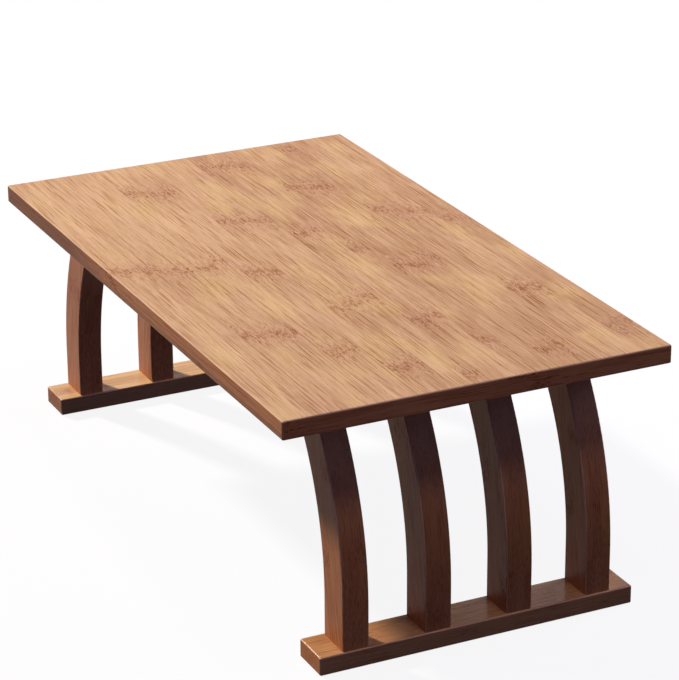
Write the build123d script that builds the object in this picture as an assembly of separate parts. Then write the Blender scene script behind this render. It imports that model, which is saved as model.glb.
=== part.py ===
from build123d import *
from math import asin, cos, sin, sqrt
import os

# Low folding tea table of laminated bamboo: one top on two leg frames that fold inward under it.
#
# X runs along the table with the near end at +X, Y runs across it and Z is up. The origin is on the floor under
# the middle of the top. The leg frame, hinges and bolt are modelled at the near end, and the far end has the same
# ones turned half round. "Inboard" distances run from the top's near end face towards the middle. Sizes are in
# millimetres.

# Top and leg frames
TOP_LENGTH = 800
TOP_WIDTH = 450
HEIGHT = 294
BOARD = 21             # thickness of the top and of each foot
RAIL_BOARD = 20        # thickness of the top rails and of the hinge battens
FRAME_INSET = 39       # from the top's long edges to the ends of foot, rail and batten
FOOT_DEPTH = 50
ARRIS = 2              # rounding of the top's and the feet's edges
SLAT_ARRIS = 1.5
HIDDEN_ARRIS = 1       # rounding of rails and battens

# Bowed slats: straight at the foot, then an arc that leans inboard
SLAT_COUNT = 4
SLAT_WIDTH = 30
SLAT_DEPTH = 45
SLAT_END_MARGIN = 27   # from the foot's end to the first slat
SLAT_SETBACK = 2       # from the foot's outboard face
BOW_RADIUS = 348       # of the outboard face
BOW_START = 67         # height at which the arc begins

# Joints in the wood
TENON_WIDTH = 18
TENON_DEPTH = 36       # along X
TENON_HEIGHT = 12
GLUE_GAP = 0.15        # between the tenon's cheeks and the mortise
TENON_END_GAP = 0.5

# Top rail, batten and the seam between them, over which the hinges lie
RAIL_MARGIN = 3.5      # of the rail beyond the slats' heads, outboard and inboard
SEAM = 1
BATTEN_DEPTH = 45

# Butt hinges
HINGE_LENGTH = 50
LEAF_WIDTH = 22
LEAF_THICKNESS = 1.6
LEAF_CORNER = 3
KNUCKLES = 5
KNUCKLE_RADIUS = 3
KNUCKLE_DROP = 0.4     # from the wood's lower face to the top of the knuckle
KNUCKLE_GAP = 0.3
PIN_RADIUS = 1.5
PIN_HEAD_RADIUS = 2.3
PIN_HEAD_HEIGHT = 0.8
FIXED_BORE_GAP = 0.03  # radial, in the knuckles that hold the pin
MOVING_BORE_GAP = 0.08
HINGE_SCREW_SPACING = 17
HINGE_SCREW_REACH = 12.5      # from the pivot

# Slide bolt
BOLT_TRAVEL = 18
BOLT_BASE_GAP = 4      # from the batten
BOLT_BASE_WIDTH = 30
BOLT_BASE_THICKNESS = 1.5
BRIDGE_LENGTH = 8
BRIDGE_WALL = 2.4
BRIDGE_INSET = 4       # from the base's ends
ROD_RADIUS = 3
ROD_TAIL = 4           # of the rod behind the rear bridge when it is shot
ROD_GAP = 0.1          # radial, in the bridges
ROD_CHAMFER = 0.8
ROD_HOLE_GAP = 0.35    # radial, in batten and rail
ROD_SETBACK = 1        # of the drawn bolt's tip from the batten's outboard face
SOCKET_SPARE = 2       # depth of the hole in the rail beyond the bolt's travel
STEM_RADIUS = 1.8
STEM_LENGTH = 6
KNOB_RADIUS = 5
KNOB_HEIGHT = 8
STEM_GAP = 0.3         # to the bridges at either end of the travel

# Countersunk screws: length, shank radius, head radius
FRAME_SCREW = (45, 2, 4)
BATTEN_SCREW = (32, 2, 4)
HINGE_SCREW = (16, 1.6, 3)
BOLT_SCREW = (12, 1.6, 3)
FRAME_SCREW_SINK = 1   # of the heads below the wood's face
HOLE_GAP = 0.1         # between a screw and its hole
HOLE_END_GAP = 0.5
SCREW_TIP = 3
RECESS_WIDTH = 0.9     # of the cross recess
RECESS_DEPTH = 1.2
BATTEN_SCREW_MARGIN = 26      # from the batten's ends
BOLT_SCREW_INSET = (7, 4)     # from the base's ends and sides

# Derived levels and places
FRAME_WIDTH = TOP_WIDTH - 2 * FRAME_INSET
TOP_UNDERSIDE = HEIGHT - BOARD
RAIL_UNDERSIDE = TOP_UNDERSIDE - RAIL_BOARD
INNER_RADIUS = BOW_RADIUS - SLAT_DEPTH
BOW_CENTRE = SLAT_SETBACK + BOW_RADIUS
HEAD_OUTBOARD = BOW_CENTRE - sqrt(BOW_RADIUS ** 2 - (RAIL_UNDERSIDE - BOW_START) ** 2)
HEAD_INBOARD = BOW_CENTRE - sqrt(INNER_RADIUS ** 2 - (RAIL_UNDERSIDE - BOW_START) ** 2)
SLAT_HEAD = (HEAD_OUTBOARD + HEAD_INBOARD) / 2
SLAT_BASE = SLAT_SETBACK + SLAT_DEPTH / 2
SLAT_PITCH = (FRAME_WIDTH - 2 * SLAT_END_MARGIN - SLAT_WIDTH) / (SLAT_COUNT - 1)
SLAT_YS = [(i - (SLAT_COUNT - 1) / 2) * SLAT_PITCH for i in range(SLAT_COUNT)]
RAIL_OUTBOARD = HEAD_OUTBOARD - RAIL_MARGIN
RAIL_INBOARD = HEAD_INBOARD + RAIL_MARGIN
BATTEN_OUTBOARD = RAIL_INBOARD + SEAM
BATTEN_INBOARD = BATTEN_OUTBOARD + BATTEN_DEPTH
PIVOT_INBOARD = RAIL_INBOARD + SEAM / 2
PIVOT_HEIGHT = RAIL_UNDERSIDE - KNUCKLE_DROP - KNUCKLE_RADIUS
LEAF_UNDERSIDE = RAIL_UNDERSIDE - LEAF_THICKNESS
ROD_HEIGHT = TOP_UNDERSIDE - RAIL_BOARD / 2
ROD_TIP = BATTEN_OUTBOARD + ROD_SETBACK
BOLT_BASE_START = BATTEN_INBOARD + BOLT_BASE_GAP
FRONT_BRIDGE = BOLT_BASE_START + BRIDGE_INSET
REAR_BRIDGE = FRONT_BRIDGE + BRIDGE_LENGTH + 2 * (STEM_GAP + STEM_RADIUS) + BOLT_TRAVEL
BOLT_BASE_END = REAR_BRIDGE + BRIDGE_LENGTH + BRIDGE_INSET
STEM_INBOARD = REAR_BRIDGE - STEM_GAP - STEM_RADIUS
ROD_END = REAR_BRIDGE + BRIDGE_LENGTH + BOLT_TRAVEL + ROD_TAIL


def near_x(inboard):
    """X of a place at the near end."""
    return TOP_LENGTH / 2 - inboard


def block(inboard_from, inboard_to, width, low, high, y=0):
    """Box at the near end, centred on y."""
    middle = near_x((inboard_from + inboard_to) / 2)
    return Pos(middle, y, (low + high) / 2) * Box(inboard_to - inboard_from, width, high - low)


def board(inboard_from, inboard_to, width, low, high, arris):
    """Box with all its edges rounded."""
    plain = block(inboard_from, inboard_to, width, low, high)
    return fillet(plain.edges(), arris)


def upright(radius, inboard, y, low, high):
    """Vertical cylinder at the near end."""
    return Pos(near_x(inboard), y, (low + high) / 2) * Cylinder(radius, high - low)


def crosswise(radius, inboard, y, height, length):
    """Cylinder along Y at the near end."""
    return Pos(near_x(inboard), y, height) * Rot(90, 0, 0) * Cylinder(radius, length)


def lengthwise(radius, inboard_from, inboard_to, height):
    """Cylinder along X at the near end, on the table's centre line."""
    middle = near_x((inboard_from + inboard_to) / 2)
    return Pos(middle, 0, height) * Rot(0, 90, 0) * Cylinder(radius, inboard_to - inboard_from)


# ---- Screws ----

def screw_body(length, shank_radius, head_radius):
    """Countersunk body with its head's face at the origin, pointing down."""
    head_height = head_radius - shank_radius
    shank_height = length - SCREW_TIP - head_height
    head = Pos(0, 0, -head_height / 2) * Cone(shank_radius, head_radius, head_height)
    shank = Pos(0, 0, -head_height - shank_height / 2) * Cylinder(shank_radius, shank_height)
    tip = Pos(0, 0, -length + SCREW_TIP / 2) * Cone(shank_radius / 4, shank_radius, SCREW_TIP)
    return head + shank + tip


def screw(length, shank_radius, head_radius):
    """Screw with a cross recess."""
    arm = Box(head_radius * 1.2, RECESS_WIDTH, RECESS_DEPTH)
    recess = Pos(0, 0, -RECESS_DEPTH / 2) * (arm + Rot(0, 0, 90) * arm)
    return screw_body(length, shank_radius, head_radius) - recess


def screw_hole(length, shank_radius, head_radius):
    """Hole for that screw, open above its head."""
    body = screw_body(length + HOLE_END_GAP, shank_radius + HOLE_GAP, head_radius + HOLE_GAP)
    mouth = Pos(0, 0, FRAME_SCREW_SINK) * Cylinder(head_radius + HOLE_GAP, 2 * FRAME_SCREW_SINK)
    return body + mouth


def downward(inboard, y, height):
    """Place of a screw that is driven down."""
    return Pos(near_x(inboard), y, height)


def upward(inboard, y, height):
    """Place of a screw that is driven up."""
    return Pos(near_x(inboard), y, height) * Rot(180, 0, 0)


RAIL_SCREWS = [downward(SLAT_HEAD, y, TOP_UNDERSIDE - FRAME_SCREW_SINK) for y in SLAT_YS]
FOOT_SCREWS = [upward(SLAT_BASE, y, FRAME_SCREW_SINK) for y in SLAT_YS]
BATTEN_SCREWS = [
    upward((BATTEN_OUTBOARD + BATTEN_INBOARD) / 2, y, RAIL_UNDERSIDE + FRAME_SCREW_SINK)
    for y in (
        -FRAME_WIDTH / 2 + BATTEN_SCREW_MARGIN,
        -SLAT_PITCH / 2,
        SLAT_PITCH / 2,
        FRAME_WIDTH / 2 - BATTEN_SCREW_MARGIN,
    )
]
HINGE_YS = (-SLAT_PITCH, SLAT_PITCH)
HINGE_SCREW_YS = [y + step * HINGE_SCREW_SPACING for y in HINGE_YS for step in (-1, 0, 1)]
RAIL_LEAF_SCREWS = [upward(PIVOT_INBOARD - HINGE_SCREW_REACH, y, LEAF_UNDERSIDE) for y in HINGE_SCREW_YS]
BATTEN_LEAF_SCREWS = [upward(PIVOT_INBOARD + HINGE_SCREW_REACH, y, LEAF_UNDERSIDE) for y in HINGE_SCREW_YS]
BASE_SCREW_PLACES = [
    upward(inboard, y, TOP_UNDERSIDE - BOLT_BASE_THICKNESS)
    for inboard in (
        BOLT_BASE_START + BOLT_SCREW_INSET[0],
        BOLT_BASE_END - BOLT_SCREW_INSET[0],
    )
    for y in (
        -BOLT_BASE_WIDTH / 2 + BOLT_SCREW_INSET[1],
        BOLT_BASE_WIDTH / 2 - BOLT_SCREW_INSET[1],
    )
]


def drill(wood, places, size):
    """Cut the holes for screws of one size."""
    for place in places:
        wood -= place * screw_hole(*size)
    return wood


def screws(places, size):
    """Group of identical screws."""
    return Compound([(place * screw(*size)).solid() for place in places])


# ---- Leg frame ----

def slat_outline():
    """Side view of a slat between foot and rail, in the XZ plane."""
    faces = []
    for radius in (BOW_RADIUS, INNER_RADIUS):
        turn = asin((RAIL_UNDERSIDE - BOW_START) / radius)
        points = [
            (near_x(BOW_CENTRE - radius * cos(angle)), BOW_START + radius * sin(angle))
            for angle in (0, turn / 2, turn)
        ]
        faces.append(points)
    outer, inner = faces
    outline = Polyline(outer[0], (outer[0][0], BOARD), (inner[0][0], BOARD), inner[0])
    outline += ThreePointArc(*inner)
    outline += Line(inner[2], outer[2])
    outline += ThreePointArc(*outer)
    return Plane.XZ * make_face(outline)


def slat(y):
    """Bowed slat with a stub tenon at each end."""
    blank = extrude(slat_outline(), SLAT_WIDTH / 2, both=True)
    long_edges = [
        edge for edge in blank.edges()
        if abs(edge.center().Y) > SLAT_WIDTH / 4 and BOARD < edge.center().Z < RAIL_UNDERSIDE
    ]
    blank = Pos(0, y, 0) * fillet(long_edges, SLAT_ARRIS)
    blank += tenon(SLAT_BASE, y, BOARD - TENON_HEIGHT, BOARD)
    blank += tenon(SLAT_HEAD, y, RAIL_UNDERSIDE, RAIL_UNDERSIDE + TENON_HEIGHT)
    blank = drill(blank, RAIL_SCREWS + FOOT_SCREWS, FRAME_SCREW)
    return blank


def tenon(inboard, y, low, high, gap=0):
    """Stub tenon, or with a gap the room for one."""
    half = TENON_DEPTH / 2 + gap
    return block(inboard - half, inboard + half, TENON_WIDTH + 2 * gap, low, high, y)


def foot():
    """Foot board, mortised and drilled for the slats."""
    wood = board(0, FOOT_DEPTH, FRAME_WIDTH, 0, BOARD, ARRIS)
    for y in SLAT_YS:
        wood -= tenon(SLAT_BASE, y, BOARD - TENON_HEIGHT - TENON_END_GAP, BOARD, GLUE_GAP)
    return drill(wood, FOOT_SCREWS, FRAME_SCREW)


def top_rail():
    """Rail that the slats are tenoned into, with the bolt's socket in its inboard face."""
    wood = board(RAIL_OUTBOARD, RAIL_INBOARD, FRAME_WIDTH, RAIL_UNDERSIDE, TOP_UNDERSIDE, HIDDEN_ARRIS)
    for y in SLAT_YS:
        tenon_top = RAIL_UNDERSIDE + TENON_HEIGHT + TENON_END_GAP
        wood -= tenon(SLAT_HEAD, y, RAIL_UNDERSIDE, tenon_top, GLUE_GAP)
    wood = drill(wood, RAIL_SCREWS, FRAME_SCREW)
    wood = drill(wood, RAIL_LEAF_SCREWS, HINGE_SCREW)
    socket_end = RAIL_INBOARD - BOLT_TRAVEL - SOCKET_SPARE
    wood -= lengthwise(ROD_RADIUS + ROD_HOLE_GAP, socket_end, RAIL_INBOARD, ROD_HEIGHT)
    return wood


# ---- Hinge batten and top ----

def batten():
    """Batten under the top that carries the hinges, bored through for the bolt."""
    wood = board(BATTEN_OUTBOARD, BATTEN_INBOARD, FRAME_WIDTH, RAIL_UNDERSIDE, TOP_UNDERSIDE, HIDDEN_ARRIS)
    wood = drill(wood, BATTEN_SCREWS, BATTEN_SCREW)
    wood = drill(wood, BATTEN_LEAF_SCREWS, HINGE_SCREW)
    wood -= lengthwise(ROD_RADIUS + ROD_HOLE_GAP, BATTEN_OUTBOARD, BATTEN_INBOARD, ROD_HEIGHT)
    return wood


def tabletop():
    """Top panel with rounded edges, drilled from below at both ends."""
    wood = board(0, TOP_LENGTH, TOP_WIDTH, TOP_UNDERSIDE, HEIGHT, ARRIS)
    for half_turn in (Rot(0, 0, 0), Rot(0, 0, 180)):
        wood = drill(wood, [half_turn * place for place in BATTEN_SCREWS], BATTEN_SCREW)
        wood = drill(wood, [half_turn * place for place in BASE_SCREW_PLACES], BOLT_SCREW)
    return wood


# ---- Hinges ----

def hinge_leaf(y, side, knuckle_numbers, bore_radius):
    """Leaf with its knuckles. Side is -1 for the rail's leaf, outboard, and 1 for the batten's."""
    band = HINGE_LENGTH / KNUCKLES
    notch = KNUCKLE_RADIUS + KNUCKLE_DROP
    near_edge, far_edge = sorted((PIVOT_INBOARD + side * notch, PIVOT_INBOARD + side * LEAF_WIDTH))
    leaf = block(near_edge, far_edge, HINGE_LENGTH, LEAF_UNDERSIDE, RAIL_UNDERSIDE, y)
    outer_x = near_x(PIVOT_INBOARD + side * LEAF_WIDTH)
    upright_edges = leaf.edges().filter_by(Axis.Z)
    outer_edges = [edge for edge in upright_edges if abs(edge.center().X - outer_x) < LEAF_CORNER]
    leaf = fillet(outer_edges, LEAF_CORNER)
    for number in knuckle_numbers:
        middle = y - HINGE_LENGTH / 2 + (number + 0.5) * band
        tab_from, tab_to = sorted((PIVOT_INBOARD, PIVOT_INBOARD + side * (notch + LEAF_CORNER)))
        leaf += block(tab_from, tab_to, band - KNUCKLE_GAP, LEAF_UNDERSIDE, RAIL_UNDERSIDE, middle)
        leaf += crosswise(KNUCKLE_RADIUS, PIVOT_INBOARD, middle, PIVOT_HEIGHT, band - KNUCKLE_GAP)
    leaf -= crosswise(bore_radius, PIVOT_INBOARD, y, PIVOT_HEIGHT, HINGE_LENGTH)
    return leaf


def fixed_leaf(y):
    """Batten's leaf, with the outer and middle knuckles."""
    leaf = hinge_leaf(y, 1, range(0, KNUCKLES, 2), PIN_RADIUS + FIXED_BORE_GAP)
    return drill(leaf, BATTEN_LEAF_SCREWS, HINGE_SCREW)


def moving_leaf(y):
    """Rail's leaf, with the knuckles between."""
    leaf = hinge_leaf(y, -1, range(1, KNUCKLES, 2), PIN_RADIUS + MOVING_BORE_GAP)
    return drill(leaf, RAIL_LEAF_SCREWS, HINGE_SCREW)


def hinge_pin(y):
    """Pin riveted over at both ends."""
    pin = crosswise(PIN_RADIUS, PIVOT_INBOARD, y, PIVOT_HEIGHT, HINGE_LENGTH)
    for end in (-1, 1):
        head_y = y + end * (HINGE_LENGTH + PIN_HEAD_HEIGHT) / 2
        pin += crosswise(PIN_HEAD_RADIUS, PIVOT_INBOARD, head_y, PIVOT_HEIGHT, PIN_HEAD_HEIGHT)
    return pin


# ---- Slide bolt ----

def bridge(start):
    """Arched guide round the rod, standing down from the base."""
    outer = ROD_RADIUS + ROD_GAP + BRIDGE_WALL
    end = start + BRIDGE_LENGTH
    arch = lengthwise(outer, start, end, ROD_HEIGHT)
    arch += block(start, end, 2 * outer, ROD_HEIGHT, TOP_UNDERSIDE - BOLT_BASE_THICKNESS)
    return arch


def bolt_base():
    """Screwed plate with two bridges that guide the rod."""
    plate_low = TOP_UNDERSIDE - BOLT_BASE_THICKNESS
    base = block(BOLT_BASE_START, BOLT_BASE_END, BOLT_BASE_WIDTH, plate_low, TOP_UNDERSIDE)
    base = fillet(base.edges().filter_by(Axis.Z), LEAF_CORNER)
    base += bridge(FRONT_BRIDGE) + bridge(REAR_BRIDGE)
    base -= lengthwise(ROD_RADIUS + ROD_GAP, BOLT_BASE_START, BOLT_BASE_END, ROD_HEIGHT)
    return drill(base, BASE_SCREW_PLACES, BOLT_SCREW)


def bolt_rod():
    """Rod, drawn back, with a hole for the knob's stem."""
    rod = lengthwise(ROD_RADIUS, ROD_TIP, ROD_END, ROD_HEIGHT)
    rod = chamfer(rod.edges().filter_by(GeomType.CIRCLE), ROD_CHAMFER)
    return rod - upright(STEM_RADIUS, STEM_INBOARD, 0, ROD_HEIGHT - ROD_RADIUS, ROD_HEIGHT)


def bolt_knob():
    """Turned knob on a stem that is screwed into the rod."""
    knob_high = ROD_HEIGHT - ROD_RADIUS - STEM_LENGTH
    knob = upright(KNOB_RADIUS, STEM_INBOARD, 0, knob_high - KNOB_HEIGHT, knob_high)
    knob = fillet(knob.edges(), KNOB_RADIUS / 3)
    return knob + upright(STEM_RADIUS, STEM_INBOARD, 0, knob_high - 1, ROD_HEIGHT)


# ---- Write the parts ----

def end_parts():
    """Nodes of one end: name at the near end, name at the far end once turned half round, and shape."""
    own_names = {
        "foot": foot(),
        "top_rail": top_rail(),
        "hinge_batten": batten(),
        "rail_to_slat_screws": screws(RAIL_SCREWS, FRAME_SCREW),
        "foot_to_slat_screws": screws(FOOT_SCREWS, FRAME_SCREW),
        "batten_screws": screws(BATTEN_SCREWS, BATTEN_SCREW),
        "moving_leaf_screws": screws(RAIL_LEAF_SCREWS, HINGE_SCREW),
        "fixed_leaf_screws": screws(BATTEN_LEAF_SCREWS, HINGE_SCREW),
        "bolt_base": bolt_base(),
        "bolt_base_screws": screws(BASE_SCREW_PLACES, BOLT_SCREW),
        "bolt_rod": bolt_rod(),
        "bolt_knob": bolt_knob(),
    }
    parts = [(name, name, shape) for name, shape in own_names.items()]
    for number, y in enumerate(SLAT_YS, start=1):
        parts.append((f"slat_{number}", f"slat_{SLAT_COUNT + 1 - number}", slat(y)))
    for place, opposite, y in (("front", "back", HINGE_YS[0]), ("back", "front", HINGE_YS[1])):
        parts.append((f"{place}_hinge_fixed_leaf", f"{opposite}_hinge_fixed_leaf", fixed_leaf(y)))
        parts.append((f"{place}_hinge_moving_leaf", f"{opposite}_hinge_moving_leaf", moving_leaf(y)))
        parts.append((f"{place}_hinge_pin", f"{opposite}_hinge_pin", hinge_pin(y)))
    return parts


os.makedirs("parts", exist_ok=True)
export_step(tabletop(), "parts/tabletop.step")
for near_name, far_name, shape in end_parts():
    export_step(shape, f"parts/near_{near_name}.step")
    export_step(Rot(0, 0, 180) * shape, f"parts/far_{far_name}.step")
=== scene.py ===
import math

import bpy
import numpy as np
from mathutils import Matrix, Vector


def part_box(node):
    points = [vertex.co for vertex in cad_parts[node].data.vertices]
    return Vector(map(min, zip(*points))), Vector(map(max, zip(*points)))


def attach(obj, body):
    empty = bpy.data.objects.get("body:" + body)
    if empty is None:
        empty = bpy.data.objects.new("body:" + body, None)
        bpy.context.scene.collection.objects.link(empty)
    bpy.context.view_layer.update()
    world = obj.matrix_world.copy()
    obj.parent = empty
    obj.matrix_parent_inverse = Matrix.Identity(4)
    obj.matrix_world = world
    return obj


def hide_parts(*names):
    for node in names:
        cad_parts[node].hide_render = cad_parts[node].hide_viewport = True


# Low folding tea table of caramel pressed bamboo. X runs along the table with the near end at +X, Y runs
# across it with the front long side at -Y, Z is up, and the origin is on the floor under the middle of the
# top. Everything is in metres.

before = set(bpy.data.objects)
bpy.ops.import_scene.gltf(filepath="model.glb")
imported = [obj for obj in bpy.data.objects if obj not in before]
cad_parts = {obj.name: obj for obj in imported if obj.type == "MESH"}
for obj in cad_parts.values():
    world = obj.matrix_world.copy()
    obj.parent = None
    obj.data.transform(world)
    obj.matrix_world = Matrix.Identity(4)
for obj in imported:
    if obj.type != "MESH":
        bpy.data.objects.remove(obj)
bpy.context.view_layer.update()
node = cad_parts


# ---- Tabletop ----
# One panel of flat-pressed bamboo: strips 20 mm wide, steamed to a caramel colour and glued side by side in
# three plies, sanded soft at its edges and sealed with a thin satin lacquer. Thin strips close its two ends.

CARAMEL_PALE = (0.735, 0.478, 0.282, 1)
CARAMEL_DEEP = (0.565, 0.328, 0.180, 1)
CARAMEL_HONEY = (0.715, 0.478, 0.238, 1)
CARAMEL_ROSE = (0.600, 0.330, 0.235, 1)
FIBRE_BROWN = (0.270, 0.120, 0.055, 1)
FIBRE_SHADE = (0.450, 0.265, 0.060, 1)
FIBRE_PALE = (0.865, 0.595, 0.390, 1)
# tint of upright faces: partly the cut edges' own darker colour and partly painted shade
EDGE_STAIN_AND_SHADE = (0.90, 0.70, 0.58, 1)
# colour of painted shade on upright faces towards one end of a board
EDGE_SHADE_COLOUR = (0.44, 0.245, 0.185, 1)
END_GRAIN = (1.22, 1.06, 0.80, 1)
WHITE = (1, 1, 1, 1)

# cells or waves to the metre: along the fibres, across the strips and through the plies
BUNDLE_CELLS = (10, 440, 440)
THREAD_CELLS = (12, 680, 680)
PALE_CELLS = (12, 520, 520)
BROAD_WAVES = (8, 230, 230)
SINGLE_WAVES = (80, 900, 900)
CROWD_WAVES = (9, 60, 60)
PATCH_WAVES = (7, 11, 11)
HONEY_WAVES = (10, 26, 26)
CURL_WAVES = (120, 360, 360)
SWAY_WAVES = (55, 95, 95)
WAVER_WAVES = (30, 130, 130)

# distances from a knuckle between which its dark curls, its rosy halo and its shade come up
CURL_REACH = (0.0150, 0.0050)
HALO_REACH = (0.046, 0.004)
SHADE_REACH = (0.150, 0.010)

FACE_MARGIN = 0.01  # share of a strip or ply that keeps the board's faces off the step to the next
KNUCKLE_WAVER = 0.022  # how far a knuckle strays along the strip from one fibre to the next
STRAIGHT_SWAY = 0.0012  # how far the fibres sway away from a knuckle
KNUCKLE_SWAY = 0.0100  # and how much farther at one
PLY_SHIFT = 2.37  # strips by which each ply lies to the side of the one above it
CANE_OFFSET = (2.1, 0.7, 0.9)  # the farthest from its own place that a strip's noise is read
GLUE_LINE = (0.00045, 0.0001)  # distances from a strip's side between which its glue line comes up
UPRIGHT_FACE = (0.75, 0.55)  # upward part of the normal, from a level face to an upright one
END_FACE = (0.75, 0.90)  # lengthwise part of the normal, from another face to end grain
ROUNDED_EDGE = (0.995, 0.80)  # largest part of the normal, from a flat face to a rounded edge

# how much each layer warms or tints the wood, how much it darkens it and how much more where fibres crowd,
# how much it dulls the lacquer, and its height as a share of the relief
WARMING = {"start": -0.40, "patch": 1.05, "strip": 0.70}
TINTING = {"rosy_patch": 0.45, "rosy_halo": 0.36, "pale": 0.42, "glue": 0.45, "sanded_and_highlight": 0.50}
DARKENING = {"broad": 0.05, "shade": 0.16, "bundle": 0.44, "thread": 0.34, "single": 0.60, "curls": 0.48}
CROWDING = {"bundle": 0.20, "thread": 0.12}
DULLING = {"bundle": 0.12, "single": 0.10, "curls": 0.12, "end_grain": 0.30}
HEIGHTS = {"single": 0.3, "bundle": -0.7, "thread": -0.3, "curls": -0.6, "glue": -0.8}
RELIEF = 0.00025


def lay(tree, kind, inputs=None, **settings):
    """Adds one shader node. An input is a plain value or the output of another node."""
    made = tree.nodes.new(kind)
    for name, value in settings.items():
        setattr(made, name, value)
    for name, value in (inputs or {}).items():
        if isinstance(value, bpy.types.NodeSocket):
            tree.links.new(value, made.inputs[name])
        else:
            made.inputs[name].default_value = value
    return made


def reckon(tree, operation, *terms):
    """Output of one Math node over numbers or outputs."""
    return lay(tree, "ShaderNodeMath", dict(enumerate(terms)), operation=operation).outputs[0]


def weigh(tree, start, *layers):
    """Start plus the sum of the layers, each an output times its weight."""
    total = start
    for value, weight in layers:
        total = reckon(tree, "MULTIPLY_ADD", value, weight, total)
    return total


def fade(tree, value, start, end):
    """0 where value is at start, 1 where it is at end, and a smooth step between them."""
    terms = {"Value": value, "From Min": start, "From Max": end}
    return lay(tree, "ShaderNodeMapRange", terms, interpolation_type="SMOOTHSTEP").outputs[0]


def stretch(tree, vector, factors):
    """Vector times one factor for each direction, so that a pattern can be drawn out along the fibres."""
    return lay(tree, "ShaderNodeVectorMath", {0: vector, 1: factors}, operation="MULTIPLY").outputs[0]


def move(tree, vector, shift):
    """Vector plus shift."""
    return lay(tree, "ShaderNodeVectorMath", {0: vector, 1: shift}, operation="ADD").outputs[0]


def cloud(tree, place, waves, detail=2.0, roughness=0.5, distortion=0.0):
    """Smooth noise with so many waves to the metre in each direction, 0.5 on average."""
    made = lay(tree, "ShaderNodeTexNoise", {"Vector": stretch(tree, place, waves), "Scale": 1.0})
    made.inputs["Detail"].default_value = detail
    made.inputs["Roughness"].default_value = roughness
    made.inputs["Distortion"].default_value = distortion
    return made.outputs["Fac"]


def fibres(tree, place, cells, edge, core):
    """Long thin cells round scattered points, with so many cells to the metre in each direction.

    The value is 0 from edge outwards and 1 from core inwards, both distances from the point in cells.
    """
    terms = {"Vector": stretch(tree, place, cells), "Scale": 1.0}
    gap = lay(tree, "ShaderNodeTexVoronoi", terms).outputs["Distance"]
    return fade(tree, gap, edge, core)


def limit(tree, value):
    """Value, held between 0 and 1."""
    return lay(tree, "ShaderNodeClamp", {0: value}).outputs[0]


def blend_colour(tree, amount, first, second, how="MIX"):
    """First colour, going over by amount to the second, or to the blend of both that how names."""
    terms = {0: amount, 6: first, 7: second}
    return lay(tree, "ShaderNodeMix", terms, data_type="RGBA", blend_type=how).outputs[2]


def blank_material(name):
    """New material with its node tree, its shader, and the outputs that give place and normal."""
    material = bpy.data.materials.new(name)
    material.use_nodes = True
    tree = material.node_tree
    tree.nodes.clear()
    shader = lay(tree, "ShaderNodeBsdfPrincipled")
    lay(tree, "ShaderNodeOutputMaterial", {0: shader.outputs[0]})
    return material, tree, shader, lay(tree, "ShaderNodeTexCoord").outputs


def knuckle_gap(tree, along, own_place, number, knuckles):
    """Distance along the fibres to the nearest knuckle of the strip with this number.

    A colour ramp has one step for each strip and is read at the strip's number over their count. Its colour
    holds up to three places, raised by half a metre to be above 0. The place along the board is raised too
    and wavered a little by noise. What it differs from each of the three is a gap: the smallest is taken.
    """
    count = len(knuckles)
    share = reckon(tree, "FRACT", reckon(tree, "MULTIPLY", reckon(tree, "ADD", number, 0.5), 1 / count))
    ramp = lay(tree, "ShaderNodeValToRGB", {0: share})
    ramp.color_ramp.interpolation = "CONSTANT"
    stops = ramp.color_ramp.elements
    stops.remove(stops[1])
    for index, strip_places in enumerate(knuckles):
        stop = stops.new(index / count) if index else stops[0]
        raised = [place + 0.5 for place in strip_places]
        stop.color = (*raised, *[0.0] * (3 - len(raised)), 1)
    places = lay(tree, "ShaderNodeSeparateColor", {0: ramp.outputs["Color"]}).outputs
    noise = cloud(tree, own_place, WAVER_WAVES)
    waver = reckon(tree, "MULTIPLY_ADD", noise, KNUCKLE_WAVER, 0.5 - KNUCKLE_WAVER / 2)
    raised_along = reckon(tree, "ADD", along, waver)
    gaps = [reckon(tree, "ABSOLUTE", reckon(tree, "SUBTRACT", raised_along, places[i])) for i in range(3)]
    return reckon(tree, "MINIMUM", reckon(tree, "MINIMUM", gaps[0], gaps[1]), gaps[2])


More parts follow.
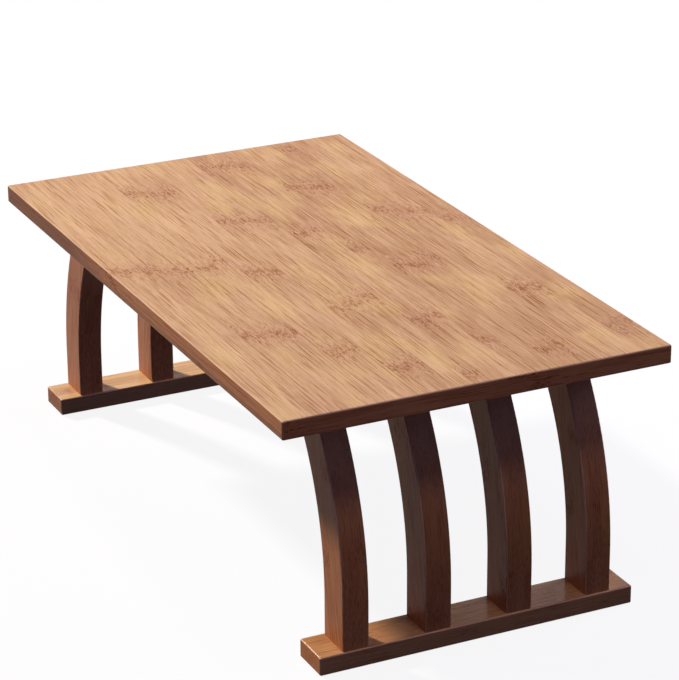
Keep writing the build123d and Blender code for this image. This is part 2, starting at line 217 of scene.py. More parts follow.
def pressed_bamboo(
    name,
    centre,
    turn,
    size,
    strip,
    plies,
    seed,
    knuckles,
    stain=WHITE,
    edge_stain_and_shade=EDGE_STAIN_AND_SHADE,
    edge_shade_span=None,
    painted_back_shade=0.0,
    banded_ends=False,
    end_axis=None,
    satin=0.42,
    shine=0.06,
    bold=1.0,
):
    """Flat-pressed bamboo laid in strips and plies.

    The grain's own frame has its origin at centre and is turned by turn, with its first axis along the
    fibres, its second across the strips and its third through the plies. size is the board's size in that
    frame, strip the width of a strip and plies the number of layers. A strip's number is its place across
    the board divided by its width, rounded down, and each strip in each ply takes its own tone. Fibre
    bundles are long thin cells round scattered points, darkest at their middle. knuckles gives, for each
    strip, up to three places along it where the cane had a joint: there the fibres sway, turn rosy and
    break into short dark curls.

    stain tints the whole board; on the foot boards and slats it is partly the wood's own colour and partly
    painted light and shade for how the lamps fall on each. edge_stain_and_shade tints its upright faces,
    partly with the cut edges' own darker colour and partly with painted shade. edge_shade_span gives two
    places along the board between which its upright faces are painted darker, as shade, and
    painted_back_shade is how much darker the board is painted towards its second side, as shade. With
    banded_ends, a strip laid crosswise closes the two ends. end_axis is the object's axis at whose faces the
    fibres run out: the end grain there is warmer and drinks the lacquer dull. satin is the lacquer's
    roughness, shine how much it mirrors, and bold the share of the fibres' and knuckles' darkness that
    shows.
    """
    material, tree, shader, object_place = blank_material(name)
    terms = {"Vector": object_place["Object"], "Location": centre, "Rotation": turn}
    grain = lay(tree, "ShaderNodeMapping", terms, vector_type="TEXTURE").outputs[0]
    normal_parts = lay(tree, "ShaderNodeSeparateXYZ", {0: object_place["Normal"]}).outputs
    facing = [reckon(tree, "ABSOLUTE", part) for part in normal_parts]
    lengthwise, crosswise, upward = lay(tree, "ShaderNodeSeparateXYZ", {0: grain}).outputs
    if banded_ends:
        # on the two ends the strips run across the board, so the axes change places there
        on_end = reckon(tree, "GREATER_THAN", facing[0], 0.72)
        swapped = lay(tree, "ShaderNodeCombineXYZ", {0: crosswise, 1: upward, 2: lengthwise}).outputs[0]
        chosen = lay(tree, "ShaderNodeMix", {0: on_end, 4: grain, 5: swapped}, data_type="VECTOR")
        grain = chosen.outputs[1]
    along, across, through = lay(tree, "ShaderNodeSeparateXYZ", {0: grain}).outputs

    # which strip and which ply, and what chance gives each
    depth = reckon(tree, "MULTIPLY_ADD", through, -1 / size[2], 0.5)
    ply = reckon(tree, "MULTIPLY_ADD", depth, plies - 2 * FACE_MARGIN, FACE_MARGIN)
    ply = reckon(tree, "FLOOR", ply)
    lane = reckon(tree, "MULTIPLY_ADD", across, 1 / strip, len(knuckles) / 2 + FACE_MARGIN)
    lane = weigh(tree, lane, (ply, PLY_SHIFT))
    number = reckon(tree, "FLOOR", lane)
    within = reckon(tree, "FRACT", lane)
    cell = lay(tree, "ShaderNodeCombineXYZ", {0: number, 1: ply, 2: seed}).outputs[0]
    chance = lay(tree, "ShaderNodeTexWhiteNoise", {"Vector": cell}).outputs
    tone = chance["Value"]
    luck = lay(tree, "ShaderNodeSeparateColor", {0: chance["Color"]}).outputs[1]

    # each strip is its own stretch of cane: its noise is read at another place
    own_place = move(tree, grain, stretch(tree, chance["Color"], CANE_OFFSET))

    # near a knuckle the straight fibres sway
    gap = knuckle_gap(tree, along, own_place, number, knuckles)
    halo = fade(tree, gap, *HALO_REACH)
    sway = reckon(tree, "SUBTRACT", cloud(tree, grain, SWAY_WAVES), 0.5)
    aside = reckon(tree, "MULTIPLY", sway, weigh(tree, STRAIGHT_SWAY, (halo, KNUCKLE_SWAY)))
    shift = lay(tree, "ShaderNodeCombineXYZ", {1: aside, 2: aside}).outputs[0]
    fibre_place = move(tree, own_place, shift)

    # fibres, from soft bands of them down to single ones, and the curls of a knuckle
    bundle = fibres(tree, fibre_place, BUNDLE_CELLS, edge=0.42, core=0.12)
    thread = fibres(tree, fibre_place, THREAD_CELLS, edge=0.50, core=0.18)
    pale = fibres(tree, fibre_place, PALE_CELLS, edge=0.44, core=0.14)
    broad = fade(tree, cloud(tree, fibre_place, BROAD_WAVES, 3.0, 0.6), 0.40, 0.72)
    single = cloud(tree, fibre_place, SINGLE_WAVES, 2.0, 0.6)
    crowd = fade(tree, cloud(tree, own_place, CROWD_WAVES), 0.36, 0.64)
    curl = fade(tree, cloud(tree, own_place, CURL_WAVES, 3.0, 0.5, 0.8), 0.45, 0.62)
    curls = reckon(tree, "MULTIPLY", fade(tree, gap, *CURL_REACH), curl)

    # colour of the strip
    patch = cloud(tree, grain, PATCH_WAVES)
    # painted shade: the tone deepens towards the board's second side
    towards_shaded_back = fade(tree, across, -size[1] / 4, size[1] / 2)
    warmth = weigh(tree, WARMING["start"], (patch, WARMING["patch"]), (tone, WARMING["strip"]))
    warmth = weigh(tree, warmth, (towards_shaded_back, painted_back_shade))
    colour = blend_colour(tree, limit(tree, warmth), CARAMEL_PALE, CARAMEL_DEEP)
    honeyed = fade(tree, cloud(tree, grain, HONEY_WAVES), 0.45, 0.75)
    colour = blend_colour(tree, honeyed, colour, CARAMEL_HONEY)
    lucky = reckon(tree, "MULTIPLY", luck, TINTING["rosy_patch"])
    rosy = weigh(tree, 0.0, (fade(tree, patch, 0.50, 0.80), lucky), (halo, TINTING["rosy_halo"]))
    colour = blend_colour(tree, limit(tree, rosy), colour, CARAMEL_ROSE)
    colour = blend_colour(tree, reckon(tree, "MULTIPLY", pale, TINTING["pale"]), colour, FIBRE_PALE)

    # fibres darken it, and the blue of it most: the noise of the single ones counts from its average
    darker = weigh(
        tree,
        -0.5 * DARKENING["single"],
        (broad, DARKENING["broad"]),
        (fade(tree, gap, *SHADE_REACH), DARKENING["shade"]),
        (bundle, weigh(tree, DARKENING["bundle"], (crowd, CROWDING["bundle"]))),
        (thread, weigh(tree, DARKENING["thread"], (crowd, CROWDING["thread"]))),
        (single, DARKENING["single"]),
        (curls, DARKENING["curls"]),
    )
    darker = reckon(tree, "MULTIPLY", limit(tree, darker), bold)
    fibre_tint = blend_colour(tree, darker, WHITE, FIBRE_SHADE)
    colour = blend_colour(tree, 1.0, colour, fibre_tint, "MULTIPLY")
    colour = blend_colour(tree, 1.0, colour, stain, "MULTIPLY")

    # upright faces, partly their own darker colour and partly painted shade, and end grain
    upright_face = fade(tree, facing[2], *UPRIGHT_FACE)
    edge_tint_and_shade = blend_colour(tree, upright_face, WHITE, edge_stain_and_shade)
    # painted shade: the upright faces darken between two places along the board
    if edge_shade_span:
        painted_edge_shade = reckon(tree, "MULTIPLY", fade(tree, lengthwise, *edge_shade_span), upright_face)
        edge_tint_and_shade = blend_colour(tree, painted_edge_shade, edge_tint_and_shade, EDGE_SHADE_COLOUR)
    end_grain = 0.0 if end_axis is None else fade(tree, facing[end_axis], *END_FACE)
    edge_tint_and_shade = blend_colour(tree, end_grain, edge_tint_and_shade, END_GRAIN, "MULTIPLY")
    colour = blend_colour(tree, 1.0, colour, edge_tint_and_shade, "MULTIPLY")

    # glue lines between strips, and the paler rounded edges: partly sanded wood and partly a painted
    # highlight
    side_gap = reckon(tree, "MINIMUM", within, reckon(tree, "SUBTRACT", 1.0, within))
    glue = fade(tree, reckon(tree, "MULTIPLY", side_gap, strip), *GLUE_LINE)
    colour = blend_colour(tree, reckon(tree, "MULTIPLY", glue, TINTING["glue"]), colour, FIBRE_BROWN)
    widest = reckon(tree, "MAXIMUM", reckon(tree, "MAXIMUM", facing[0], facing[1]), facing[2])
    sanded_and_highlight = fade(tree, widest, *ROUNDED_EDGE)
    colour = blend_colour(tree, reckon(tree, "MULTIPLY", sanded_and_highlight, TINTING["sanded_and_highlight"]), colour, FIBRE_PALE)
    tree.links.new(colour, shader.inputs["Base Color"])

    # satin lacquer, duller over open fibres, with a faint relief from fibres, knuckles and glue lines
    layers = {
        "single": single,
        "bundle": bundle,
        "thread": thread,
        "curls": curls,
        "glue": glue,
        "end_grain": end_grain,
    }
    dull = weigh(tree, satin - 0.05, *((layers[layer], share) for layer, share in DULLING.items()))
    tree.links.new(reckon(tree, "MINIMUM", dull, 1.0), shader.inputs["Roughness"])
    relief = weigh(tree, 0.0, *((layers[layer], share) for layer, share in HEIGHTS.items()))
    bump = lay(tree, "ShaderNodeBump", {"Strength": 0.5, "Distance": RELIEF, "Height": relief})
    tree.links.new(bump.outputs[0], shader.inputs["Normal"])
    shader.inputs["Specular IOR Level"].default_value = shine
    return material


def finish_nodes(names, material):
    """The named parts take this material in all their slots."""
    for name in names:
        for material_slot in node[name].material_slots:
            material_slot.material = material


# places of the knuckles along each strip, from the front long side to the back
TOP_KNUCKLES = [
    (-0.066,),
    (-0.058,),
    (-0.048,),
    (-0.036, 0.176),
    (-0.030, 0.184),
    (-0.026, 0.190),
    (-0.300, -0.044, 0.262),
    (-0.292, 0.010, 0.258),
    (-0.284, 0.016, 0.330),
    (-0.160, 0.148, 0.322),
    (-0.152, 0.140),
    (-0.146, 0.132, 0.376),
    (-0.354, -0.082, 0.222),
    (-0.346, -0.090, 0.214),
    (-0.338, -0.012, 0.300),
    (-0.236, 0.062),
    (-0.228, 0.070, 0.352),
    (-0.222, 0.054, 0.346),
    (-0.372, -0.118),
    (-0.100, 0.180),
    (-0.094, 0.184),
    (-0.058, 0.326),
    (-0.050, 0.316),
]
# its upright faces are painted darker towards the far end and its back half deeper: painted shade that the
# lamps don't give
top_low, top_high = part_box("tabletop")
top_bamboo = pressed_bamboo(
    "tabletop_bamboo",
    centre=(top_low + top_high) / 2,
    turn=(0, 0, 0),
    size=top_high - top_low,
    strip=0.020,
    plies=3,
    seed=3.0,
    knuckles=TOP_KNUCKLES,
    stain=(0.960, 0.975, 0.890, 1),
    edge_stain_and_shade=(0.92, 0.60, 0.47, 1),
    edge_shade_span=(-0.02, -0.22),
    painted_back_shade=0.35,
    banded_ends=True,
)
finish_nodes(["tabletop"], top_bamboo)


# ---- Foot boards ----
# Each leg frame stands on one flat board of the same bamboo, 50 mm deep, with its fibres along the board.
# The slats are tenoned into it and held by screws from below.

# each foot has its own stain on its top and on its upright faces: partly the wood's own colour and partly
# painted light and shade, which makes up for how the lamps fall on it
FOOT_STAIN_AND_LIGHT = {"near": (0.86, 0.70, 0.50, 1), "far": (1.11, 1.13, 0.98, 1)}
FOOT_EDGE_STAIN_AND_SHADE = {"near": (0.74, 0.57, 0.47, 1), "far": (0.41, 0.27, 0.26, 1)}
FOOT_KNUCKLES = {
    "near_foot": [(-0.128, 0.088), (-0.122, 0.096), (-0.012, 0.150)],
    "far_foot": [(0.162,), (-0.166, 0.112), (0.118,)],
}
for index, (name, knuckles) in enumerate(FOOT_KNUCKLES.items()):
    low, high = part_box(name)
    width, length, height = high - low
    foot_bamboo = pressed_bamboo(
        f"{name}_bamboo",
        centre=(low + high) / 2,
        turn=(0, 0, math.pi / 2),
        size=(length, width, height),
        strip=0.019,
        plies=3,
        seed=11.0 + index,
        knuckles=knuckles,
        satin=0.20,
        shine=0.13,
        bold=0.75,
        end_axis=1,
        stain=FOOT_STAIN_AND_LIGHT[name.split("_")[0]],
        edge_stain_and_shade=FOOT_EDGE_STAIN_AND_SHADE[name.split("_")[0]],
    )
    finish_nodes([name], foot_bamboo)


# ---- Bowed slats ----
# Four slats in each frame, sawn to a bow from a straight blank, so that their fibres run straight along the
# chord and out at the curved faces. A stub tenon at each end is glued and screwed.

SLAT_LEAN = math.radians(12)
SLAT_BLANK = 0.150  # depth of the blank, of which the bow takes the middle
SLAT_STRIP = 0.0102
# the stain of each frame is partly the wood's own colour and partly painted light and shade, and the tone of
# single slats is painted light and shade: both make up for how the lamps fall on them
SLAT_STAIN_AND_LIGHT = {"near": (0.84, 0.70, 0.57), "far": (0.83, 0.71, 0.72)}
SLAT_KNUCKLES = {
    "near_slat_1": [(-0.026,), (-0.020,), (0.070,)],
    "near_slat_2": [(-0.112, 0.096), (-0.110,), (0.086,)],
    "near_slat_3": [(0.030,), (0.038,), (-0.090,)],
    "near_slat_4": [(-0.030,), (0.054,), (0.050,)],
    "far_slat_1": [(0.016,), (0.020,), (-0.100,)],
    "far_slat_2": [(-0.064,), (0.102,), (-0.058,)],
    "far_slat_3": [(0.080,), (-0.040,), (-0.036,)],
    "far_slat_4": [(-0.008,), (-0.002,), (0.098,)],
}
SLAT_LIGHT_TONE = {"near_slat_1": 1.08, "near_slat_2": 0.88, "near_slat_3": 0.86, "far_slat_1": 1.06}
for index, (name, knuckles) in enumerate(SLAT_KNUCKLES.items()):
    # this slat's tone is painted light and shade
    tone = SLAT_LIGHT_TONE.get(name, 1.0)
    low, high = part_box(name)
    lean = SLAT_LEAN if name.startswith("near") else -SLAT_LEAN
    depth, width, length = high - low
    slat_bamboo = pressed_bamboo(
        f"{name}_bamboo",
        centre=(low + high) / 2,
        turn=(0, -math.pi / 2 - lean, 0),
        size=(length, width, SLAT_BLANK),
        strip=SLAT_STRIP,
        plies=8,
        seed=23.0 + index,
        knuckles=knuckles,
        bold=0.65,
        stain=(*(tone * part for part in SLAT_STAIN_AND_LIGHT[name.split("_")[0]]), 1),
    )
    finish_nodes([name], slat_bamboo)


# ---- Top rails and hinge battens ----
# Sawn boards of the same bamboo under the top. The rail caps the four slats and folds with them, the batten
# beside it is screwed up into the top and carries the hinges. They are sanded but get only one coat.

UNDER_KNUCKLES = {
    "near_top_rail": [(-0.096, 0.120), (-0.090, 0.126), (0.020,)],
    "near_hinge_batten": [(-0.150, 0.060), (-0.030,), (-0.024, 0.164)],
    "far_top_rail": [(0.070,), (0.076, -0.160), (-0.070,)],
    "far_hinge_batten": [(-0.110, 0.130), (-0.104, 0.010), (0.016,)],
}
for index, (name, knuckles) in enumerate(UNDER_KNUCKLES.items()):
    low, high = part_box(name)
    width, length, height = high - low
    under_bamboo = pressed_bamboo(
        f"{name}_bamboo",
        centre=(low + high) / 2,
        turn=(0, 0, math.pi / 2),
        size=(length, width, height),
        strip=width / 3,
        plies=3,
        seed=41.0 + index,
        knuckles=knuckles,
        satin=0.55,
    )
    finish_nodes([name], under_bamboo)


# ---- Hinges ----
# Butt hinges of pressed steel, plated with bright zinc: leaves 1.6 mm thick, rolled knuckles, riveted pin.

ZINC = (0.540, 0.545, 0.540, 1)
ZINC_DULL = (0.400, 0.405, 0.410, 1)
ZINC_WARM = (0.560, 0.520, 0.420, 1)
BLOOM_WAVES = (260, 260, 260)
STAIN_WAVES = (70, 70, 70)
SCRATCH_WAVES = (60, 3200, 3200)
ZINC_RELIEF = 0.0001


def zinc_plate(name, seed, polish=0.30, scratch_turn=(0, 0, 0)):
    """Bright zinc over steel: a cloudy plated bloom, warm stains and fine scratches along one way."""
    material, tree, shader, object_place = blank_material(name)
    terms = {"Vector": object_place["Object"], "Location": (seed, 0, 0), "Rotation": scratch_turn}
    metal = lay(tree, "ShaderNodeMapping", terms, vector_type="POINT").outputs[0]
    bloom = cloud(tree, metal, BLOOM_WAVES, 4.0, 0.6)
    stain = cloud(tree, metal, STAIN_WAVES)
    scratch = cloud(tree, metal, SCRATCH_WAVES, 2.0, 0.6)
    colour = blend_colour(tree, fade(tree, bloom, 0.38, 0.66), ZINC, ZINC_DULL)
    stained = reckon(tree, "MULTIPLY", fade(tree, stain, 0.48, 0.70), 0.5)
    colour = blend_colour(tree, stained, colour, ZINC_WARM)
    tree.links.new(colour, shader.inputs["Base Color"])
    dull = weigh(tree, polish - 0.11, (bloom, 0.22), (scratch, 0.14))
    tree.links.new(limit(tree, dull), shader.inputs["Roughness"])
    relief = weigh(tree, 0.0, (bloom, 0.5), (scratch, 0.5))
    bump = lay(tree, "ShaderNodeBump", {"Strength": 0.25, "Distance": ZINC_RELIEF, "Height": relief})
    tree.links.new(bump.outputs[0], shader.inputs["Normal"])
    shader.inputs["Metallic"].default_value = 1.0
    return material


leaf_zinc = zinc_plate("hinge_leaf_zinc", seed=0.3, scratch_turn=(0, 0, math.radians(78)))
pin_zinc = zinc_plate("hinge_pin_zinc", seed=0.9, polish=0.24, scratch_turn=(0, 0, math.pi / 2))
for end in ("near", "far"):
    for side in ("front", "back"):
        finish_nodes([f"{end}_{side}_hinge_fixed_leaf", f"{end}_{side}_hinge_moving_leaf"], leaf_zinc)
        finish_nodes([f"{end}_{side}_hinge_pin"], pin_zinc)


# ---- Slide bolts ----
# A turned steel rod in a screwed base with two bridges, all plated with zinc. The rod is drawn and shot by a
# small knob with a knurled band, turned in one with the stem that is screwed into the rod.

KNOB_RADIUS = 0.0050
KNOB_HEIGHT = 0.0080
KNURL_COUNT = 30
KNURL_DEPTH = 0.00026
KNURL_BAND = (-0.0024, -0.0063)


def closed_skin(start, rings, end):
    """Vertices and faces of a closed surface: rings of points in rows, and a point at either end.

    Each face joins two neighbours of one ring to the same two of the next, and a fan closes each end.
    """
    index = 1 + np.arange(rings.shape[0] * rings.shape[1]).reshape(rings.shape[:2])
    after = np.roll(index, -1, axis=1)
    quads = np.stack([index[:-1], index[1:], after[1:], after[:-1]], axis=-1).reshape(-1, 4)
    first_fan = np.stack([np.zeros_like(index[0]), index[0], after[0]], axis=-1)
    last_fan = np.stack([index[-1], np.full_like(index[-1], index[-1, -1] + 1), after[-1]], axis=-1)
    vertices = np.concatenate([[start], rings.reshape(-1, 3), [end]])
    return vertices, [quads, first_fan, last_fan]


def metal_piece(name, vertices, faces, material, body, stands_for):
    """Smooth-shaded object with its place in its mesh, which takes over from one node."""
    mesh = bpy.data.meshes.new(name)
    mesh.from_pydata(vertices.tolist(), [], [face for group in faces for face in group.tolist()])
    mesh.shade_smooth()
    mesh.set_sharp_from_angle(angle=math.radians(50))
    mesh.materials.append(material)
    made = bpy.data.objects.new(name, mesh)
    bpy.context.scene.collection.objects.link(made)
    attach(made, body)
    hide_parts(stands_for)


def turned_knob(middle, stem_top):
    """Rings of the knob, from the top of its stem down to the dish in its face.

    The radius follows a turned profile. Within the knurled band it falls, once for each knurl round the
    axis, by the knurl's depth times half of one plus the cosine.
    """
    stem_foot = middle[2] + KNOB_HEIGHT / 2
    # share of the knob's radius, and height from the stem's foot
    profile = np.array(
        [
            (0.36, stem_top - stem_foot), (0.36, 0.0006), (0.42, 0.0001), (0.60, 0.0000), (0.80, -0.0003),
            (0.92, -0.0009), (0.92, -0.0013), (0.84, -0.0015), (0.84, -0.0018), (0.92, -0.0020),
            (0.975, -0.0023), (0.975, -0.0026), (0.975, -0.0040), (0.975, -0.0054), (0.975, -0.0061),
            (0.975, -0.0064), (0.93, -0.0069), (0.86, -0.0075), (0.76, -0.0078), (0.66, -0.0080),
            (0.54, -0.0080), (0.50, -0.00785), (0.38, -0.00764), (0.24, -0.00751), (0.10, -0.00746),
        ]
    )
    radius, drop = profile[:, 0] * KNOB_RADIUS, profile[:, 1]
    knurled = ((drop < KNURL_BAND[0]) & (drop > KNURL_BAND[1])) * 1.0
    angle = np.linspace(0, 2 * np.pi, 6 * KNURL_COUNT, endpoint=False)
    groove = KNURL_DEPTH * (1 + np.cos(KNURL_COUNT * angle)) / 2
    grooved = radius[:, None] - knurled[:, None] * groove
    level = np.broadcast_to((stem_foot + drop)[:, None], grooved.shape)
    across = middle[0] + grooved * np.cos(angle)
    return np.stack([across, middle[1] + grooved * np.sin(angle), level], axis=-1)


bolt_zinc = zinc_plate("bolt_base_zinc", seed=1.7, polish=0.34)
rod_zinc = zinc_plate("bolt_rod_zinc", seed=2.3, polish=0.20)
for end in ("near", "far"):
    finish_nodes([f"{end}_bolt_base"], bolt_zinc)
    finish_nodes([f"{end}_bolt_rod"], rod_zinc)
    low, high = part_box(f"{end}_bolt_knob")
    middle = ((low.x + high.x) / 2, (low.y + high.y) / 2, low.z + KNOB_HEIGHT / 2)
    rings = turned_knob(middle, high.z)
    stem_point, dish_point = ((middle[0], middle[1], level) for level in (high.z, rings[-1, 0, 2]))
    vertices, faces = closed_skin(stem_point, rings, dish_point)
    metal_piece(
        f"{end}_knurled_knob",
        vertices,
        faces,
        rod_zinc,
        body=f"{end}_bolt",
        stands_for=f"{end}_bolt_knob",
    )


# ---- Screws ----
# Countersunk cross-head wood screws of zinc-plated steel: a plain neck under the head, a rolled thread below
# it and a point. Each stands turned a little differently in its hole.

RECESS_DEPTH = 0.0012
RECESS_HALF_WIDTH = 0.00045
RECESS_SPAN = 0.6  # of the head's radius
FACE_INSET = 0.0002  # from the head's full radius to the rim of its face
EDGE_INSET = 0.00008  # and to the edge of its cone
EDGE_DROP = 0.00006  # from the face down to that edge
NECK_SHARE = 0.22  # of the screw's length
THREAD_DEPTH = 0.28  # of the shank's radius
SCREW_POINT = 0.0030  # length over which the thread tapers
POINT_WIDTH = 0.25  # of the shank's radius, where the thread ends
TURN_STEP = 2.4  # from one screw of a row to the next, in radians
SLAT_PLACES = (-0.144, -0.048, 0.048, 0.144)
HINGE_PLACES = (-0.113, -0.096, -0.079, 0.079, 0.096, 0.113)
SCREW_GROUPS = {
    # length, shank radius, head radius, pitch, body, whether driven down, places across, places along
    "rail_to_slat": (0.045, 0.0020, 0.0040, 0.0022, "leg", True, SLAT_PLACES, (0.0,)),
    "foot_to_slat": (0.045, 0.0020, 0.0040, 0.0022, "leg", False, SLAT_PLACES, (0.0,)),
    "batten": (0.032, 0.0020, 0.0040, 0.0022, "top", False, (-0.160, -0.048, 0.048, 0.160), (0.0,)),
    "moving_leaf": (0.016, 0.0016, 0.0030, 0.0016, "leg", False, HINGE_PLACES, (0.0,)),
    "fixed_leaf": (0.016, 0.0016, 0.0030, 0.0016, "top", False, HINGE_PLACES, (0.0,)),
    "bolt_base": (0.012, 0.0016, 0.0030, 0.0016, "top", False, (-0.011, 0.011), (-0.0161, 0.0161)),
}


def turned_screw(length, shank, head, pitch):
    """Vertices and faces of a screw that points down, its head's face at the origin.

    The cross recess has a radius for each angle round the axis: the length of a bar over the larger of the
    sine and cosine, or half its width over the smaller, whichever is less. Rings of that shape narrow as
    they go down. Along the thread the radius is the shank's, less a share that comes and goes once for each
    pitch along and once for each turn round, which makes a helix. It tapers to the point.
    """
    bar = RECESS_SPAN * head
    corner = math.atan2(RECESS_HALF_WIDTH, bar)
    eighth = np.concatenate([[0, corner / 2], np.linspace(corner, np.pi / 4, 5)])
    quarter = np.concatenate([eighth, np.pi / 2 - eighth[5:0:-1]])
    angle = (np.arange(4)[:, None] * np.pi / 2 + quarter).reshape(-1)
    larger = np.maximum(np.abs(np.cos(angle)), np.abs(np.sin(angle)))
    smaller = np.minimum(np.abs(np.cos(angle)), np.abs(np.sin(angle)))
    cross = np.minimum(bar / larger, RECESS_HALF_WIDTH / np.maximum(smaller, 0.001))
    rim = np.full_like(angle, head - FACE_INSET)
    face_radius = np.stack([0.3 * cross, 0.8 * cross, cross, (cross + rim) / 2, rim])
    depth = RECESS_DEPTH * np.array([0.97, 0.62, 0, 0, 0])[:, None] * np.ones_like(angle)
    face = np.stack([face_radius * np.cos(angle), face_radius * np.sin(angle), -depth], axis=-1)

    cone_foot = head - shank
    neck_foot = cone_foot + NECK_SHARE * length
    thread_drop = np.arange(neck_foot, length - 0.0001, pitch / 4)
    drop = np.concatenate([[EDGE_DROP, cone_foot], thread_drop])[:, None]
    ridge = (0.5 + 0.5 * np.cos(2 * np.pi * drop / pitch - angle)) ** 2
    cut = np.clip((drop - neck_foot) / pitch, 0, 1)
    taper = np.clip((length - drop) / SCREW_POINT, POINT_WIDTH, 1)
    radius = shank * taper * (1 - THREAD_DEPTH * cut * (1 - ridge))
    radius[0] = head - EDGE_INSET
    side = np.stack([radius * np.cos(angle), radius * np.sin(angle), -drop * np.ones_like(angle)], axis=-1)
    return closed_skin((0, 0, -RECESS_DEPTH), np.concatenate([face, side]), (0, 0, -length))


screw_zinc = zinc_plate("screw_zinc", seed=3.1, polish=0.36, scratch_turn=(0, math.pi / 2, 0))
for end in ("near", "far"):
    for group, (length, shank, head, pitch, body, down, across, along) in SCREW_GROUPS.items():
        low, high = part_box(f"{end}_{group}_screws")
        single, single_faces = turned_screw(length, shank, head, pitch)
        turn = TURN_STEP * np.arange(len(across) * len(along))[:, None]
        x = single[:, 0] * np.cos(turn) - single[:, 1] * np.sin(turn)
        y = single[:, 0] * np.sin(turn) + single[:, 1] * np.cos(turn)
        z = np.broadcast_to(single[:, 2], x.shape)
        if not down:
            y, z = -y, -z
        place_x, place_y = (grid.reshape(-1, 1) for grid in np.meshgrid(along, across))
        place_x = place_x + (low.x + high.x) / 2
        place_z = high.z if down else low.z
        vertices = np.stack([x + place_x, y + place_y, z + place_z], axis=-1).reshape(-1, 3)
        shift = len(single) * np.arange(len(turn))[:, None, None]
        faces = [(face + shift).reshape(-1, face.shape[1]) for face in single_faces]
        metal_piece(
            f"{end}_{group}_wood_screws",
            vertices,
            faces,
            screw_zinc,
            body="top" if body == "top" else f"{end}_leg",
            stands_for=f"{end}_{group}_screws",
        )


# ---- Floor, light and camera ----
# A pale floor, as of white paper, and a soft key lamp at the far left of the table. Weaker lamps stand
# overhead, behind and above it, and a faint even light comes from all round.

PAPER_LEVEL = -0.0003
PAPER_FADE = (0.9, 2.4)  # distances from the middle between which the shadow on it fades out
PAPER_CORNERS = ((-9, -9), (9, -9), (9, 9), (-9, 9))
floor_mesh = bpy.data.meshes.new("floor")
floor_mesh.from_pydata([(x, y, PAPER_LEVEL) for x, y in PAPER_CORNERS], [], [(0, 1, 2, 3)])
floor = bpy.data.objects.new("floor", floor_mesh)
bpy.context.scene.collection.objects.link(floor)


def seen_directly(tree):
    """1 for the camera and for what shows in gloss or glass, 0 for the light that the object receives."""
    path = lay(tree, "ShaderNodeLightPath").outputs
    seen = reckon(tree, "MAXIMUM", path["Is Camera Ray"], path["Is Glossy Ray"])
    return reckon(tree, "MAXIMUM", seen, path["Is Transmission Ray"])


def blend_shader(tree, amount, first, second):
    """First shader, going over to the second by amount."""
    return lay(tree, "ShaderNodeMixShader", {0: amount, 1: first, 2: second}).outputs[0]


paper = bpy.data.materials.new("floor_paper")
paper.use_nodes = True
tree = paper.node_tree
tree.nodes.clear()
paper_place = lay(tree, "ShaderNodeTexCoord").outputs["Object"]
paper_reach = lay(tree, "ShaderNodeVectorMath", {0: paper_place}, operation="LENGTH").outputs["Value"]
paper_far = fade(tree, paper_reach, *PAPER_FADE)

# white, with a faint shadow close to the table that fades out farther off
paper_shadow = lay(tree, "ShaderNodeBsdfDiffuse", {"Color": (0.11, 0.11, 0.115, 1)}).outputs[0]
paper_white = lay(tree, "ShaderNodeEmission", {"Color": WHITE, "Strength": 0.89}).outputs[0]
paper_near = lay(tree, "ShaderNodeAddShader", {0: paper_shadow, 1: paper_white}).outputs[0]
paper_plain = lay(tree, "ShaderNodeEmission", {"Color": WHITE, "Strength": 1.0}).outputs[0]
paper_seen = blend_shader(tree, paper_far, paper_near, paper_plain)

# it throws little light back at the table
paper_dim = lay(tree, "ShaderNodeBsdfDiffuse", {"Color": (0.036, 0.029, 0.040, 1)}).outputs[0]
paper_above = blend_shader(tree, seen_directly(tree), paper_dim, paper_seen)

# from underneath it is clear, so that the underside of the table shows
paper_clear = lay(tree, "ShaderNodeBsdfTransparent").outputs[0]
paper_below = lay(tree, "ShaderNodeNewGeometry").outputs["Backfacing"]
lay(tree, "ShaderNodeOutputMaterial", {0: blend_shader(tree, paper_below, paper_above, paper_clear)})
floor_mesh.materials.append(paper)

# the wall looks white, while the light that the table gets from it is faint and bluish
EVEN_LIGHT = (0.066, 0.061, 0.152, 1)
world = bpy.data.worlds.new("studio")
bpy.context.scene.world = world
world.use_nodes = True
tree = world.node_tree
tree.nodes.clear()
even_light = lay(tree, "ShaderNodeBackground", {"Color": EVEN_LIGHT, "Strength": 1.0}).outputs[0]
white_wall = lay(tree, "ShaderNodeBackground", {"Color": WHITE, "Strength": 1.0}).outputs[0]
lay(tree, "ShaderNodeOutputWorld", {0: blend_shader(tree, seen_directly(tree), even_light, white_wall)})


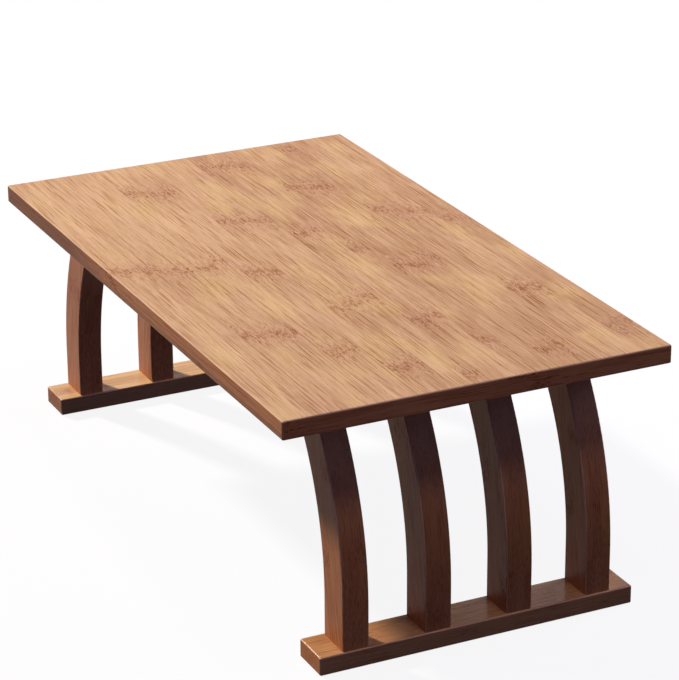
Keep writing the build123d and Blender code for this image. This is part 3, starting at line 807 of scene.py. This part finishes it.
def soft_lamp(name, toward, aim, distance, width, colour, strength):
    """Round soft lamp that stands at distance from aim, in the direction toward, and faces it.

    Its power is strength times pi times the distance squared, so that strength is the light it gives at
    aim, however far off it stands.
    """
    data = bpy.data.lights.new(name, "AREA")
    data.shape = "DISK"
    data.size = width
    data.color = colour
    data.energy = strength * math.pi * distance**2
    lamp = bpy.data.objects.new(name, data)
    bpy.context.scene.collection.objects.link(lamp)
    toward = Vector(toward).normalized()
    lamp.location = Vector(aim) + toward * distance
    lamp.rotation_mode = "QUATERNION"
    lamp.rotation_quaternion = toward.to_track_quat("Z", "Y")


LAMPS = {
    # toward, aim, distance, width, colour, strength
    "key": ((-0.760, -0.292, 0.581), (0.380, -0.160, 0.140), 8.0, 0.66, (1.0, 0.88, 0.76), 3.66),
    "overhead": ((-0.45, -0.35, 0.82), (0, 0, 0.2), 3.0, 2.0, (0.60, 0.95, 1.0), 0.03),
    "behind": ((-0.10, 0.88, 0.46), (0.2, 0, 0.2), 3.0, 1.5, (0.74, 0.70, 1.0), 1.35),
    "above": ((0.235, 0.03, 0.972), (0.3, 0, 0.2), 3.0, 0.6, (0.90, 0.80, 1.0), 0.52),
}
for lamp_name, settings in LAMPS.items():
    soft_lamp(lamp_name, *settings)

CAMERA_PLACE = Vector((2.77332, -1.30026, 1.43904))
CAMERA_AZIMUTH = math.radians(64.3718)
CAMERA_ELEVATION = math.radians(22.1071)
CAMERA_ROLL = math.radians(-0.3732)
camera_data = bpy.data.cameras.new("camera")
camera_data.sensor_width = 36.0
camera_data.lens = 152.85
camera = bpy.data.objects.new("camera", camera_data)
bpy.context.scene.collection.objects.link(camera)
back = Vector(
    (
        math.sin(CAMERA_AZIMUTH) * math.cos(CAMERA_ELEVATION),
        -math.cos(CAMERA_AZIMUTH) * math.cos(CAMERA_ELEVATION),
        math.sin(CAMERA_ELEVATION),
    )
)
level = Vector((0, 0, 1)).cross(back).normalized()
upward = back.cross(level)
right = math.cos(CAMERA_ROLL) * level + math.sin(CAMERA_ROLL) * upward
up = math.cos(CAMERA_ROLL) * upward - math.sin(CAMERA_ROLL) * level
camera.matrix_world = Matrix.Translation(CAMERA_PLACE) @ Matrix((right, up, back)).transposed().to_4x4()
bpy.context.scene.camera = camera
bpy.context.scene.view_settings.view_transform = "Standard"
